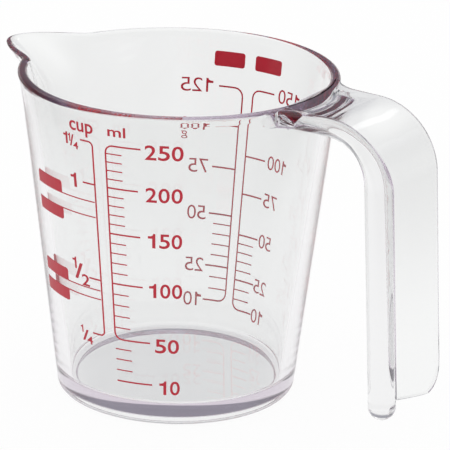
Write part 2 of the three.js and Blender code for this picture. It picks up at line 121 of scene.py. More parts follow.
def bowl_profile():
    """Radius and height from the hollow's middle, up the outside and down to the floor's middle."""
    lip = CUP_HEIGHT - RIM_ROUND
    spout_bottom = CUP_HEIGHT - SPOUT_DEPTH
    recess = outer_radius(FOOT_ROUND) - FOOT_ROUND - FOOT_WIDTH
    recess_corner = recess - RECESS_DRAFT - RECESS_ROUND
    fillet_top = FLOOR_TOP + FLOOR_FILLET
    floor_edge = inner_radius(fillet_top) - FLOOR_FILLET
    outside = spaced(FOOT_ROUND, spout_bottom, WALL_ROWS)[1:] + spaced(spout_bottom, lip, SPOUT_ROWS)
    inside = spaced(fillet_top, spout_bottom, WALL_ROWS)[1:] + spaced(spout_bottom, lip, SPOUT_ROWS)
    return [
        (0, RECESS_DEPTH),
        (recess / 2, RECESS_DEPTH),
        *arc(recess_corner, RECESS_DEPTH - RECESS_ROUND, RECESS_ROUND, 90, DRAFT_ANGLE),
        (recess, 0),
        *arc(outer_radius(FOOT_ROUND) - FOOT_ROUND, FOOT_ROUND, FOOT_ROUND, -90, 0),
        *[(outer_radius(z), z) for z in outside],
        *arc(RIM_RADIUS - RIM_ROUND, lip, RIM_ROUND, 0, 90),
        *arc(inner_radius(CUP_HEIGHT) + RIM_ROUND, lip, RIM_ROUND, 90, 180),
        *[(inner_radius(z), z) for z in reversed(inside)],
        *arc(floor_edge, fillet_top, FLOOR_FILLET, 0, -90),
        (floor_edge / 2, FLOOR_TOP),
        (0, FLOOR_TOP),
    ]


print("points in the bowl's profile:", len(bowl_profile()))

# %% Skin of the bowl, drawn out into the spout
SPOUT_REACH = 13.7 * MM
SPOUT_HALF_ANGLE = math.radians(22)
SPOUT_SWELL = 1.7 * MM
SWELL_HALF_ANGLE = math.radians(60)
BOWL_COLUMNS = 360


def spout_pull(azimuth, z):
    """How far the spout, which points to -X, draws the wall out: a narrow lip on a broad swell."""
    from_middle = abs(math.remainder(azimuth - math.pi, math.tau))
    below = min(1, (CUP_HEIGHT - z) / SPOUT_DEPTH)

    def fade(half_angle):
        return math.cos(min(1, from_middle / half_angle) * math.pi / 2) ** 2

    lip = (SPOUT_REACH - SPOUT_SWELL) * fade(SPOUT_HALF_ANGLE)
    return (lip + SPOUT_SWELL * fade(SWELL_HALF_ANGLE)) * (1 - below) ** 2


def skin_over(mesh, rings):
    """Faces between each closed ring of points and the next."""
    count = len(rings[0])
    for before, after in zip(rings, rings[1:]):
        for i in range(count):
            j = (i + 1) % count
            mesh.faces.new((before[i], before[j], after[j], after[i]))


def bowl_mesh():
    mesh = bmesh.new()
    profile = bowl_profile()
    rings = []
    for radius, z in profile[1:-1]:
        ring = []
        for column in range(BOWL_COLUMNS):
            azimuth = math.tau * column / BOWL_COLUMNS
            reach = radius + spout_pull(azimuth, z)
            ring.append(mesh.verts.new((AXIS_X + reach * math.cos(azimuth), reach * math.sin(azimuth), z)))
        rings.append(ring)
    skin_over(mesh, rings)
    for z, ring in ((profile[0][1], rings[0]), (profile[-1][1], rings[-1])):
        middle = mesh.verts.new((AXIS_X, 0, z))
        for i in range(BOWL_COLUMNS):
            mesh.faces.new((middle, ring[i], ring[(i + 1) % BOWL_COLUMNS]))
    bmesh.ops.recalc_face_normals(mesh, faces=mesh.faces)
    return mesh


print(f"spout {spout_pull(math.pi, CUP_HEIGHT) / MM:.1f} mm past the rim's circle")

# %% [markdown]
# ## The handle
# The handle leaves the rim level with its top face and turns down. A round rail runs along its near
# edge and ends in a nose, and a thin panel with a round corner fills the width beside it. Under the
# root is a swelling, with fillets at its sides. A curve with a bevel would keep one section all the
# way, but here the section changes: a slim rail at the root, a full one at the grip. So both parts
# are lofted: sections are placed along one outside line and joined into a skin.

# %% The line that the handle follows
handle_low, handle_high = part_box("handle")
HANDLE_REACH = 70.3 * MM
HANDLE_WIDTH = handle_high.y - handle_low.y
HANDLE_BOTTOM = handle_low.z
HANDLE_BEND = 18.5 * MM
HANDLE_LEAN = math.radians(3.3)
GROWTH_START = 0.35
GUSSET_LENGTH = 10 * MM
ROOT_STEPS = 32
BEND_STEPS = 80
END_STEPS = 32
UPRIGHT = math.pi / 2
INSIDE_WALL = -1

# left: how far the root has left the wall, 0 to 1. angle: of the line's normal, over the horizon.
# growth: of the rail from root to grip, 0 to 1. gusset: share of the swelling under the root, 1 to 0.
# from_end: distance from the tip.
Station = namedtuple("Station", "left x z angle growth gusset from_end")


def smooth(t):
    """Eases a share from 0 to 1, level at both ends."""
    return t * t * (3 - 2 * t)


def handle_line(bottom, end_length):
    """Stations along the outside line, from inside the wall round the bend to the lower end."""
    bend_x = HANDLE_REACH - HANDLE_BEND
    bend_z = CUP_HEIGHT - HANDLE_BEND
    root_x = RIM_RADIUS + GUSSET_LENGTH
    line = [Station(INSIDE_WALL, root_x, CUP_HEIGHT, UPRIGHT, 0, 1, math.inf)]
    for i in range(ROOT_STEPS + 1):
        left = i / ROOT_STEPS
        gusset = 1 - math.sqrt(1 - (1 - left) ** 2)
        line.append(Station(left, root_x, CUP_HEIGHT, UPRIGHT, 0, gusset, math.inf))
    for i in range(BEND_STEPS + 1):
        turn = i / BEND_STEPS
        angle = UPRIGHT + (HANDLE_LEAN - UPRIGHT) * turn
        x = bend_x + HANDLE_BEND * math.cos(angle)
        z = bend_z + HANDLE_BEND * math.sin(angle)
        growth = smooth(max(0, turn - GROWTH_START) / (1 - GROWTH_START))
        line.append(Station(1, x, z, angle, growth, 0, math.inf))
    start = line[-1]
    length = (start.z - bottom) / math.cos(HANDLE_LEAN)
    from_ends = spaced(length, end_length, WALL_ROWS)[1:]
    from_ends += [end_length * (1 - math.cos(UPRIGHT * i / END_STEPS)) for i in range(END_STEPS, 0, -1)]
    for from_end in from_ends:
        run = length - from_end
        x = start.x + run * math.sin(HANDLE_LEAN)
        z = start.z - run * math.cos(HANDLE_LEAN)
        line.append(Station(1, x, z, HANDLE_LEAN, 1, 0, from_end))
    return line


print(f"handle {HANDLE_WIDTH / MM:.1f} mm wide, end {HANDLE_BOTTOM / MM:.1f} mm above the table")

# %% Outlines across the rail and the panel
GUSSET_WIDTH = 22 * MM
OVAL_POINTS = 96
OVAL_POWER = 2 / 2.05
FACE_STEPS = 24
EDGE_LIMIT = 0.48


def with_gusset(outline, middle, belly):
    """The same outline with its inner side swollen into the gusset."""
    return [
        (x, y + (belly * math.sqrt(max(0, 1 - (2 * x / GUSSET_WIDTH) ** 2)) if y > middle else 0))
        for x, y in outline
    ]


def rail_outline(near, far, outside, inside, belly):
    """Outline across the rail: an oval, a little fuller than an ellipse."""
    middle_x, middle_y = (near + far) / 2, (outside + inside) / 2
    outline = []
    for i in range(OVAL_POINTS):
        angle = math.tau * i / OVAL_POINTS
        x = math.copysign(abs(math.cos(angle)) ** OVAL_POWER, math.cos(angle))
        y = math.copysign(abs(math.sin(angle)) ** OVAL_POWER, math.sin(angle))
        outline.append((middle_x + x * (far - near) / 2, middle_y + y * (inside - outside) / 2))
    return with_gusset(outline, middle_y, belly)


def panel_outline(near, far, outside, inside, edge_round, crown, belly):
    """Outline across the panel: a rounded rectangle, crowned on its outer side. The edge's round is
    kept a little under half of each side."""
    edge = min(edge_round, (inside - outside) * EDGE_LIMIT, (far - near) * EDGE_LIMIT)
    left, right = near + edge, far - edge
    inner_run = [(x, inside) for x in spaced(left, right, FACE_STEPS)[1:]]
    outer_run = []
    for x in spaced(right, left, FACE_STEPS)[1:]:
        share = (2 * x - left - right) / (right - left)
        outer_run.append((x, outside - crown * (1 - share**2)))
    outline = [
        *arc(right, outside + edge, edge, 0, -90),
        *outer_run,
        *arc(left, outside + edge, edge, -90, -180),
        *arc(left, inside - edge, edge, 180, 90),
        *inner_run,
        *arc(right, inside - edge, edge, 90, 0),
    ]
    return with_gusset(outline, (outside + inside) / 2, belly)


print("points across the rail:", OVAL_POINTS)

# %% Sections along the handle
GUSSET_DEPTH = 6.6 * MM
ROOT_THICKNESS = 4.7 * MM
ROOT_WIDTH = 4.4 * MM
ROOT_FILLET = 4.5 * MM
RAIL_WIDTH = 7 * MM
RAIL_THICKNESS = 7.1 * MM
PANEL_THICKNESS = 1.9 * MM
PANEL_ROUND = 0.8 * MM
PANEL_INSET = 0.4 * MM
PANEL_CROWN = 0.35 * MM
PANEL_CORNER = 8.5 * MM


def draw_in(radius, from_end):
    """How far an end rounded to a radius is drawn in, at a distance from its tip."""
    return radius - math.sqrt(radius**2 - max(0, radius - from_end) ** 2)


def root_flare(left):
    """How far each edge of the handle flares out beside the wall, in a fillet."""
    return draw_in(ROOT_FILLET, max(0, left) * GUSSET_LENGTH)


def rail_width(growth):
    return ROOT_WIDTH + (RAIL_WIDTH - ROOT_WIDTH) * growth


def rail_section(at):
    """Rail's outline at a station, drawn in to a nose at its end."""
    thickness = ROOT_THICKNESS + (RAIL_THICKNESS - ROOT_THICKNESS) * at.growth
    end = draw_in(RAIL_THICKNESS / 2, at.from_end)
    edge = -HANDLE_WIDTH / 2
    near = edge - root_flare(at.left) + end
    far = edge + rail_width(at.growth) - end
    return rail_outline(near, far, end, thickness - end, GUSSET_DEPTH * at.gusset)


def panel_section(at):
    """Panel's outline at a station, from the rail's middle to the far edge, with its lower corner."""
    edge = HANDLE_WIDTH / 2
    end = draw_in(PANEL_ROUND, at.from_end)
    near = rail_width(at.growth) / 2 - edge
    far = edge - draw_in(PANEL_CORNER, at.from_end) + root_flare(at.left)
    from_root = max(0, min(1, at.left))
    inset, crown = PANEL_INSET * from_root, PANEL_CROWN * from_root
    inside = inset + PANEL_THICKNESS - end
    return panel_outline(near, far, inset + end, inside, PANEL_ROUND, crown, GUSSET_DEPTH * at.gusset)


print(f"rail {rail_width(0) / MM:.1f} mm wide at the root, {rail_width(1) / MM:.1f} mm at the grip")

# %% Skin of the rail and of the panel
PANEL_RISE = 2.9 * MM
PANEL_SLANT = 0.23


def near_end(from_end):
    """One at the handle's end, fading to nothing where the bend begins."""
    return 1 - smooth(min(1, from_end / (CUP_HEIGHT - HANDLE_BEND - HANDLE_BOTTOM)))


def from_wall(x, y, z, left):
    """Where a point of the root lies between the wall's round face and the handle's straight start."""
    if left == INSIDE_WALL:
        return math.sqrt(((outer_radius(z) + inner_radius(z)) / 2) ** 2 - y**2)
    wall_x = math.sqrt(outer_radius(z) ** 2 - y**2)
    return wall_x + (x - wall_x) * left


def loft_mesh(line, section_at, slant=0):
    """Skin over sections along the handle's line. A slant makes the lower end drop towards +Y."""
    mesh = bmesh.new()
    rings = []
    for at in line:
        ring = []
        for across, depth in section_at(at):
            drop = slant * across * near_end(at.from_end)
            x = at.x - depth * math.cos(at.angle) + drop * math.sin(at.angle)
            z = at.z - depth * math.sin(at.angle) - drop * math.cos(at.angle)
            if at.left < 1:
                x = from_wall(x, across, z, at.left)
            ring.append(mesh.verts.new((AXIS_X + x, across, z)))
        rings.append(ring)
    skin_over(mesh, rings)
    mesh.faces.new(rings[0])
    mesh.faces.new(rings[-1])
    bmesh.ops.recalc_face_normals(mesh, faces=mesh.faces)
    return mesh


rail_line = handle_line(HANDLE_BOTTOM, RAIL_THICKNESS / 2)
panel_line = handle_line(HANDLE_BOTTOM + PANEL_RISE, PANEL_CORNER)
print("sections of the rail:", len(rail_line), "and of the panel:", len(panel_line))

# %% [markdown]
# ## One moulding
# Bowl and handle are one piece of plastic. Two clear solids that only touch would show a dark seam
# where light leaves one and enters the other, so a Boolean union makes them one skin. The piece
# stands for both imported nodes.

# %% Join bowl and handle
SHARP_EDGE = math.radians(17)


def object_from(mesh, name):
    """Turns a bmesh into an object of the scene."""
    data = bpy.data.meshes.new(name)
    mesh.to_mesh(data)
    mesh.free()
    piece = bpy.data.objects.new(name, data)
    bpy.context.scene.collection.objects.link(piece)
    return piece


def applied(piece):
    """Replaces a piece's mesh by the one its modifiers give."""
    view = bpy.context.evaluated_depsgraph_get()
    data = bpy.data.meshes.new_from_object(piece.evaluated_get(view))
    piece.modifiers.clear()
    piece.data = data


def join(piece, other):
    """Unites another closed mesh with a piece and removes the other object."""
    union = piece.modifiers.new("join", "BOOLEAN")
    union.operation = "UNION"
    union.solver = "EXACT"
    union.object = other
    applied(piece)
    bpy.data.objects.remove(other)


moulding = object_from(bowl_mesh(), "clear_moulding")
handle = object_from(loft_mesh(rail_line, rail_section), "handle_rail")
join(handle, object_from(loft_mesh(panel_line, panel_section, PANEL_SLANT), "handle_panel"))
join(moulding, handle)
moulding.data.shade_smooth()
moulding.data.set_sharp_from_angle(angle=SHARP_EDGE)
flats = moulding.modifiers.new("flats", "WEIGHTED_NORMAL")
flats.keep_sharp = True
applied(moulding)
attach(moulding, "root")
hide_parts("cup_body", "handle")
print("moulding:", len(moulding.data.polygons), "faces")

# %% [markdown]
# ## Clear plastic
# The plastic is nearly colourless, and only long paths through it show its violet-grey tint: at the
# rim, the foot and the handle's edges. A coloured surface would tint everything alike, so the
# surface is a plain clear Principled shader and the tint is Volume Absorption inside the solid.
# Moulded plastic is never quite flat: faint flow waves, a bump from slow noise, make the lines seen
# through it waver a little. Modelled waves would do the same but take far more faces.

# %% Clear plastic material
PLASTIC_IOR = 1.56
CLARITY = (0.935, 0.945, 0.938, 1)
TINT = (0.58, 0.45, 0.60, 1)
TINT_DENSITY = 12.0
WAVES_PER_METRE = 45
WAVE_DETAIL = 1
WAVE_HEIGHT = 0.012 * MM


def clear_plastic():
    material = bpy.data.materials.new("clear_plastic")
    material.use_nodes = True
    nodes, links = material.node_tree.nodes, material.node_tree.links
    surface = nodes["Principled BSDF"]
    surface.inputs["Base Color"].default_value = CLARITY
    surface.inputs["Transmission Weight"].default_value = 1
    surface.inputs["IOR"].default_value = PLASTIC_IOR
    surface.inputs["Roughness"].default_value = 0
    inside = nodes.new("ShaderNodeVolumeAbsorption")
    inside.inputs["Color"].default_value = TINT
    inside.inputs["Density"].default_value = TINT_DENSITY
    links.new(inside.outputs["Volume"], nodes["Material Output"].inputs["Volume"])
    place = nodes.new("ShaderNodeTexCoord")
    waves = nodes.new("ShaderNodeTexNoise")
    waves.inputs["Scale"].default_value = WAVES_PER_METRE
    waves.inputs["Detail"].default_value = WAVE_DETAIL
    relief = nodes.new("ShaderNodeBump")
    relief.inputs["Distance"].default_value = WAVE_HEIGHT
    links.new(place.outputs["Object"], waves.inputs["Vector"])
    links.new(waves.outputs["Fac"], relief.inputs["Height"])
    links.new(relief.outputs["Normal"], surface.inputs["Normal"])
    return material


plastic = clear_plastic()
moulding.data.materials.clear()
moulding.data.materials.append(plastic)
print("plastic:", plastic.name, "with an index of", PLASTIC_IOR)

# %% [markdown]
# ## Red ink
# The scales are screen-printed with an opaque red ink. A screen print isn't quite even: the ink's
# density varies a little, and its surface is satin with a fine grain. One flat colour would look like
# tape, so noise textures give both. The underside, which is read through the wall, gets a brighter
# copy of the same red, painted light: clear plastic holds back more than half of the light that ink sends
# into it.

# %% Red ink material
INK_RED = (0.46, 0.006, 0.022, 1)
INK_THIN = (0.52, 0.014, 0.036, 1)
# The underside's reds are brighter copies of the ink's reds, painted light for what the plastic holds
# back.
UNDER_RED_BRIGHTENED = (0.97, 0.008, 0.04, 1)
UNDER_THIN_BRIGHTENED = (0.98, 0.016, 0.06, 1)
PATCHES_PER_METRE = 420
PATCH_DETAIL = 3
GRAINS_PER_METRE = 5200
SATIN_LEAST = 0.36
SATIN_MOST = 0.54
GRAIN_STRENGTH = 0.25
GRAIN_HEIGHT = 0.02 * MM


def red_ink(name, full, thin):
    """Ink whose colour goes between a full and a thin print, with a grain in its gloss and relief."""
    material = bpy.data.materials.new(name)
    material.use_nodes = True
    nodes, links = material.node_tree.nodes, material.node_tree.links
    surface = nodes["Principled BSDF"]
    place = nodes.new("ShaderNodeTexCoord")
    density = nodes.new("ShaderNodeTexNoise")
    density.inputs["Scale"].default_value = PATCHES_PER_METRE
    density.inputs["Detail"].default_value = PATCH_DETAIL
    links.new(place.outputs["Object"], density.inputs["Vector"])
    colour = nodes.new("ShaderNodeMix")
    colour.data_type = "RGBA"
    colour.inputs["A"].default_value = full
    colour.inputs["B"].default_value = thin
    links.new(density.outputs["Fac"], colour.inputs["Factor"])
    links.new(colour.outputs["Result"], surface.inputs["Base Color"])
    grain = nodes.new("ShaderNodeTexNoise")
    grain.inputs["Scale"].default_value = GRAINS_PER_METRE
    links.new(place.outputs["Object"], grain.inputs["Vector"])
    satin = nodes.new("ShaderNodeMapRange")
    satin.inputs["To Min"].default_value = SATIN_LEAST
    satin.inputs["To Max"].default_value = SATIN_MOST
    links.new(grain.outputs["Fac"], satin.inputs["Value"])
    links.new(satin.outputs["Result"], surface.inputs["Roughness"])
    relief = nodes.new("ShaderNodeBump")
    relief.inputs["Strength"].default_value = GRAIN_STRENGTH
    relief.inputs["Distance"].default_value = GRAIN_HEIGHT
    links.new(grain.outputs["Fac"], relief.inputs["Height"])
    links.new(relief.outputs["Normal"], surface.inputs["Normal"])
    return material


ink = red_ink("red_ink", INK_RED, INK_THIN)
ink_under_brightened = red_ink("red_ink_under", UNDER_RED_BRIGHTENED, UNDER_THIN_BRIGHTENED)
print("ink materials:", ink.name, ink_under_brightened.name)

# %% [markdown]
# ## Printed scales
# Ink on clear plastic touches it all over, so no light is reflected between wall and ink, and the
# print shows deep red through the wall and in the rim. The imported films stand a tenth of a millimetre
# off the wall. Here each is copied and pressed on: its inner face lies just under the plastic's skin
# and its outer face just above, which is how the renderer understands contact.

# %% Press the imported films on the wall
INK_INNER = -0.03 * MM
INK_OUTER = 0.08 * MM
PACKED_GAP = 0.1 * MM
PACKED_FILM = 0.15 * MM
CLEAR_NODES = ("cup_body", "handle")


def on_wall(azimuth, z, lift):
    """Point on the wall's outside at an azimuth and height, lifted off it."""
    reach = outer_radius(z) + lift
    return Vector((AXIS_X + reach * math.cos(azimuth), reach * math.sin(azimuth), z))


def inked(piece):
    """Gives a film its two reds: the faces that look at the cup's axis lie under the plastic and get the
    brighter red, painted light.
    """
    data = piece.data
    data.materials.clear()
    data.materials.append(ink)
    data.materials.append(ink_under_brightened)
    for face in data.polygons:
        outwards = (face.center.x - AXIS_X) * face.normal.x + face.center.y * face.normal.y
        face.material_index = 1 if outwards < 0 else 0
    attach(piece, "root")


def pressed_film(name, node):
    """Copy of a packed film, with its thickness kept in proportion and moved into contact."""
    film = bpy.data.objects.new(name + "_ink", node.data.copy())
    bpy.context.scene.collection.objects.link(film)
    for vertex in film.data.vertices:
        x, y, z = vertex.co
        lift = math.hypot(x - AXIS_X, y) - outer_radius(z)
        share = (lift - PACKED_GAP) / PACKED_FILM
        vertex.co = on_wall(math.atan2(y, x - AXIS_X), z, INK_INNER + share * (INK_OUTER - INK_INNER))
    film.data.update()
    inked(film)
    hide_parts(name)


print_nodes = [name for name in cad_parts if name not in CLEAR_NODES]
for name in print_nodes:
    pressed_film(name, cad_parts[name])
print("films pressed on:", len(print_nodes))

# %% [markdown]
# ## Numerals
# Beside the ticks stand plain numbers and units. A Text object gives their outlines, and a Shrinkwrap
# modifier could pull a flat text on to the wall, but on a cone it shears the letters. So the text is
# turned into a mesh, scaled to the size it has on the cup, and each point is laid on the cone by
# arithmetic: sideways becomes azimuth, up becomes height.

# %% Heights of the marks
TOP_MARK = CUP_HEIGHT - 8.9 * MM
FULL_ML = 250


def mark_height(ml):
    """Height at which the bowl holds a share of its full measure: volume goes with radius cubed."""
    low, high = inner_radius(FLOOR_TOP), inner_radius(TOP_MARK)
    radius = (low**3 + (high**3 - low**3) * ml / FULL_ML) ** (1 / 3)
    return FLOOR_TOP + (TOP_MARK - FLOOR_TOP) * (radius - low) / (high - low)


print("marks mm:", {ml: round(mark_height(ml) / MM, 1) for ml in (250, 200, 150, 100, 50, 10)})

# %% Letters as meshes
BOLD = 0.012
REGULAR = -0.006
HALF_UNIT = 0.5
CURVE_STEPS = 6
WELD_DISTANCE = 0.0005
STEM_LEFT = 0.34
STEM_PER_WEIGHT = 4
FIGURE_ONE = ((STEM_LEFT, 0), (0.58, 0), (0.58, 1), (0.42, 1), (0.37, 0.89), (0.25, 0.83), (0.02, 0.82),
              (0.02, 0.66), (STEM_LEFT, 0.66))


def figure_one(weight):
    """A one with a flag, as on the cup: the built-in font's one is a plain bar."""
    mesh = bmesh.new()
    thinner = STEM_PER_WEIGHT * (BOLD - weight)
    outline = [(x + (thinner if x == STEM_LEFT else 0), y) for x, y in FIGURE_ONE]
    back = [mesh.verts.new((x, y, -HALF_UNIT)) for x, y in outline]
    front = [mesh.verts.new((x, y, HALF_UNIT)) for x, y in outline]
    mesh.faces.new(back)
    mesh.faces.new(front)
    skin_over(mesh, [back, front])
    return mesh


def lettering(words, weight):
    """Mesh of a text with a unit's thickness, which becomes the film's."""
    if words == "1":
        return figure_one(weight)
    curve = bpy.data.curves.new(words, "FONT")
    curve.body = words
    curve.offset = weight
    curve.extrude = HALF_UNIT
    curve.resolution_u = CURVE_STEPS
    shape = bpy.data.objects.new(words, curve)
    bpy.context.scene.collection.objects.link(shape)
    view = bpy.context.evaluated_depsgraph_get()
    data = bpy.data.meshes.new_from_object(shape.evaluated_get(view))
    bpy.data.objects.remove(shape)
    bpy.data.curves.remove(curve)
    mesh = bmesh.new()
    mesh.from_mesh(data)
    bpy.data.meshes.remove(data)
    bmesh.ops.remove_doubles(mesh, verts=mesh.verts, dist=WELD_DISTANCE)
    return mesh


print("weights of the figures:", BOLD, REGULAR)

# %% Lay a text on the wall
FILM_MIDDLE = (INK_INNER + INK_OUTER) / 2
FILM_THICKNESS = INK_OUTER - INK_INNER
FIGURE_GAP = 0.13
ONE_LEFT, ONE_RIGHT = 0.06, 0.68


def lay(mesh, words, left, right, low, high, weight=BOLD):
    """Adds a text to a mesh of print, filling a range of azimuths in degrees and of heights."""
    letters = lettering(words, weight)
    xs = [vertex.co.x for vertex in letters.verts]
    ys = [vertex.co.y for vertex in letters.verts]
    for vertex in letters.verts:
        across = (vertex.co.x - min(xs)) / (max(xs) - min(xs))
        up = (vertex.co.y - min(ys)) / (max(ys) - min(ys))
        lift = FILM_MIDDLE + vertex.co.z * FILM_THICKNESS
        azimuth = math.radians(left + (right - left) * across)
        vertex.co = on_wall(azimuth, low + (high - low) * up, lift)
    part = bpy.data.meshes.new("part")
    letters.to_mesh(part)
    letters.free()
    mesh.from_mesh(part)
    bpy.data.meshes.remove(part)


def lay_number(mesh, number, left, right, low, high, weight=BOLD):
    """Lays a number figure by figure, all figures equally wide apart from the one."""
    figures = str(number)
    first = ONE_LEFT if figures[0] == "1" else 0
    step = (right - left) / (len(figures) - first - FIGURE_GAP)
    for i, figure in enumerate(figures):
        start = left + (i - first) * step
        ends = (ONE_LEFT, ONE_RIGHT) if figure == "1" else (0, 1 - FIGURE_GAP)
        lay(mesh, figure, start + ends[0] * step, start + ends[1] * step, low, high, weight)


def print_piece(mesh, name):
    """Makes a mesh of print a piece of the cup."""
    bmesh.ops.recalc_face_normals(mesh, faces=mesh.faces)
    piece = object_from(mesh, name)
    inked(piece)
    print(name, len(piece.data.polygons), "faces")


print(f"film {FILM_THICKNESS / MM:.2f} mm thick")

# %% Millilitre numerals
ML_DIGIT = 4.0 * MM
ML_DROP = 0.65 * MM
LOWEST_ML = 10
LOW_MARK_RISE = 2.3 * MM
ML_NUMERALS = {250: (-68.3, -54.5), 200: (-68.2, -54.5), 150: (-67.6, -54.4), 100: (-67.4, -54.0),
               50: (-65.2, -54.9), LOWEST_ML: (-63.4, -54.2)}
ML_UNIT = ("ml", -82, -75.2, 80.5 * MM, 83.2 * MM)

ml_print = bmesh.new()
for ml, (left, right) in ML_NUMERALS.items():
    middle = mark_height(ml) - ML_DROP
    if ml == LOWEST_ML:
        middle += LOW_MARK_RISE
    lay_number(ml_print, ml, left, right, middle - ML_DIGIT / 2, middle + ML_DIGIT / 2)
lay(ml_print, *ML_UNIT)
print_piece(ml_print, "ml_numerals")

# %% Cup numerals
# Each line: the sign, its left and right azimuth in degrees, its low and high edge in millimetres.
CUP_SIGNS = (
    ("cup", -98.4, -88, 78.9, 82.7),
    ("1", -102.0, -100.0, 75.9, 79.1),
    ("1", -99.7, -98.6, 76.8, 79.0),
    ("/", -98.9, -96.9, 75.6, 78.8),
    ("4", -97.3, -95.0, 75.0, 77.0),
    ("1", -100, -97.2, 64.4, 68.3),
    ("1", -103.4, -101.2, 41.2, 44.4),
    ("/", -102.6, -97.6, 38.4, 43.0),
    ("2", -98.6, -94.5, 37.0, 40.2),
    ("1", -102, -100.6, 23.2, 25.3),
    ("/", -101.2, -97.4, 21.0, 24.2),
    ("4", -98.6, -95.3, 20.4, 22.6),
)

cup_print = bmesh.new()
for sign, left, right, low, high in CUP_SIGNS:
    lay(cup_print, sign, left, right, low * MM, high * MM)
print_piece(cup_print, "cup_numerals")

# %% Gram numerals on the back
GRAM_DIGIT = 3.8 * MM
FLOUR_ENDS = ((10, 15.2), (125, 221))
SUGAR_ENDS = ((10, 11.7), (150, 222))
FLOUR_NUMERALS = {125: (110.5, 123.7), 100: (111.0, 123.7), 75: (110.8, 119.7), 50: (110.8, 119.7),
                  25: (110.8, 120.2), 10: (111.2, 120.6)}
SUGAR_NUMERALS = {150: (67.6, 80.3), 100: (67.6, 80.3), 75: (71.2, 80.3), 50: (71.2, 80.3),
                  25: (70.9, 80.3), 10: (70.6, 79.9)}
UNIT_GRAMS = 100
UNIT_LEFT, UNIT_RIGHT = 120.4, 123.2
UNIT_GAP = 0.5 * MM
UNIT_HEIGHT = 2.1 * MM


def gram_height(grams, ends):
    """Height of a mark in grams: the volume goes evenly from the scale's first mark to its last."""
    (first, first_ml), (last, last_ml) = ends
    return mark_height(first_ml + (last_ml - first_ml) * (grams - first) / (last - first))


def gram_numerals(numerals, ends):
    """Mesh of a scale's numerals, each at the height of its mark."""
    mesh = bmesh.new()
    for grams, (left, right) in numerals.items():
        middle = gram_height(grams, ends)
        lay_number(mesh, grams, left, right, middle - GRAM_DIGIT / 2, middle + GRAM_DIGIT / 2, REGULAR)
    return mesh


flour_print = gram_numerals(FLOUR_NUMERALS, FLOUR_ENDS)
unit_top = gram_height(UNIT_GRAMS, FLOUR_ENDS) - GRAM_DIGIT / 2 - UNIT_GAP
lay(flour_print, "g", UNIT_LEFT, UNIT_RIGHT, unit_top - UNIT_HEIGHT, unit_top, REGULAR)
print_piece(flour_print, "flour_numerals")
print_piece(gram_numerals(SUGAR_NUMERALS, SUGAR_ENDS), "sugar_numerals")

# %% [markdown]
# ## Camera
# The camera stands where the photo was taken from: about 0.8 m away and above the rim, turned so that
# the spout points left and the handle right. A long lens keeps the cup's sides nearly parallel. The
# frame is square, and the lens is worked out from the picture's width in pixels. A Track To constraint
# could aim the camera, but it keeps the horizon level, and the photo leans by about a degree.

# %% Camera
VIEW_DISTANCE = 812 * MM
VIEW_ELEVATION = math.radians(19.48)
VIEW_AZIMUTH = math.radians(33)
VIEW_ROLL = math.radians(1.18)
VIEW_TARGET = Vector((12.37, 0, 44.54)) * MM
VIEW_LIMIT = 20
FOCAL_PIXELS = 3078.24
FRAME_PIXELS = 450
SENSOR_WIDTH = 36


def make_camera():
    lens = bpy.data.cameras.new("camera")
    lens.sensor_width = SENSOR_WIDTH
    lens.lens = FOCAL_PIXELS / FRAME_PIXELS * SENSOR_WIDTH
    lens.clip_end = VIEW_LIMIT
    camera = bpy.data.objects.new("camera", lens)
    bpy.context.scene.collection.objects.link(camera)
    forward = Vector((0, math.cos(VIEW_ELEVATION), -math.sin(VIEW_ELEVATION)))
    level = Vector((1, 0, 0))
    upright = level.cross(forward)
    right = math.cos(VIEW_ROLL) * level + math.sin(VIEW_ROLL) * upright
    above = -math.sin(VIEW_ROLL) * level + math.cos(VIEW_ROLL) * upright
    axes = Matrix((right, above, -forward)).transposed().to_4x4()
    place = Matrix.Translation(VIEW_TARGET - VIEW_DISTANCE * forward)
    turn = Matrix.Rotation(VIEW_AZIMUTH, 4, "Z")
    camera.matrix_world = Matrix.Translation((AXIS_X, 0, 0)) @ turn @ place @ axes
    bpy.context.scene.camera = camera
    return camera


camera = make_camera()
print("lens mm:", round(camera.data.lens, 1))

# %% [markdown]
# ## White floor
# The cup was photographed on white. The floor is a pale painted disc that glows where it is seen,
# directly or through the plastic, and keeps a little of its own shading, so the cup's soft shadow
# stays. Clear plastic also mirrors the room faintly, and a room that is white on all sides would put
# a veil over the red print. So light that was mirrored on its way finds a dim room at the viewer's
# side and to the left and right, and a white one behind the cup. A dark backdrop there would do the
# same, but it would show in views from behind.

# %% A dim room for mirrored light
SIDE_AZIMUTH = VIEW_AZIMUTH - math.pi / 2
VIEWER_SIDE = (math.cos(SIDE_AZIMUTH), math.sin(SIDE_AZIMUTH), 0)
RIGHT_SIDE = (-VIEWER_SIDE[1], VIEWER_SIDE[0], 0)
LEFT_SIDE = (VIEWER_SIDE[1], -VIEWER_SIDE[0], 0)
DIM_ROOM = 0.3


def combined(tree, operation, first, second, clamp=False):
    """Result of a Math node on two values, each a number or another node's socket."""
    node = tree.nodes.new("ShaderNodeMath")
    node.operation = operation
    node.use_clamp = clamp
    for socket, value in zip(node.inputs, (first, second)):
        if isinstance(value, (int, float)):
            socket.default_value = value
        else:
            tree.links.new(value, socket)
    return node.outputs[0]


def either(tree, first, second):
    """Larger of two values, held between 0 and 1."""
    return combined(tree, "MAXIMUM", first, second, clamp=True)


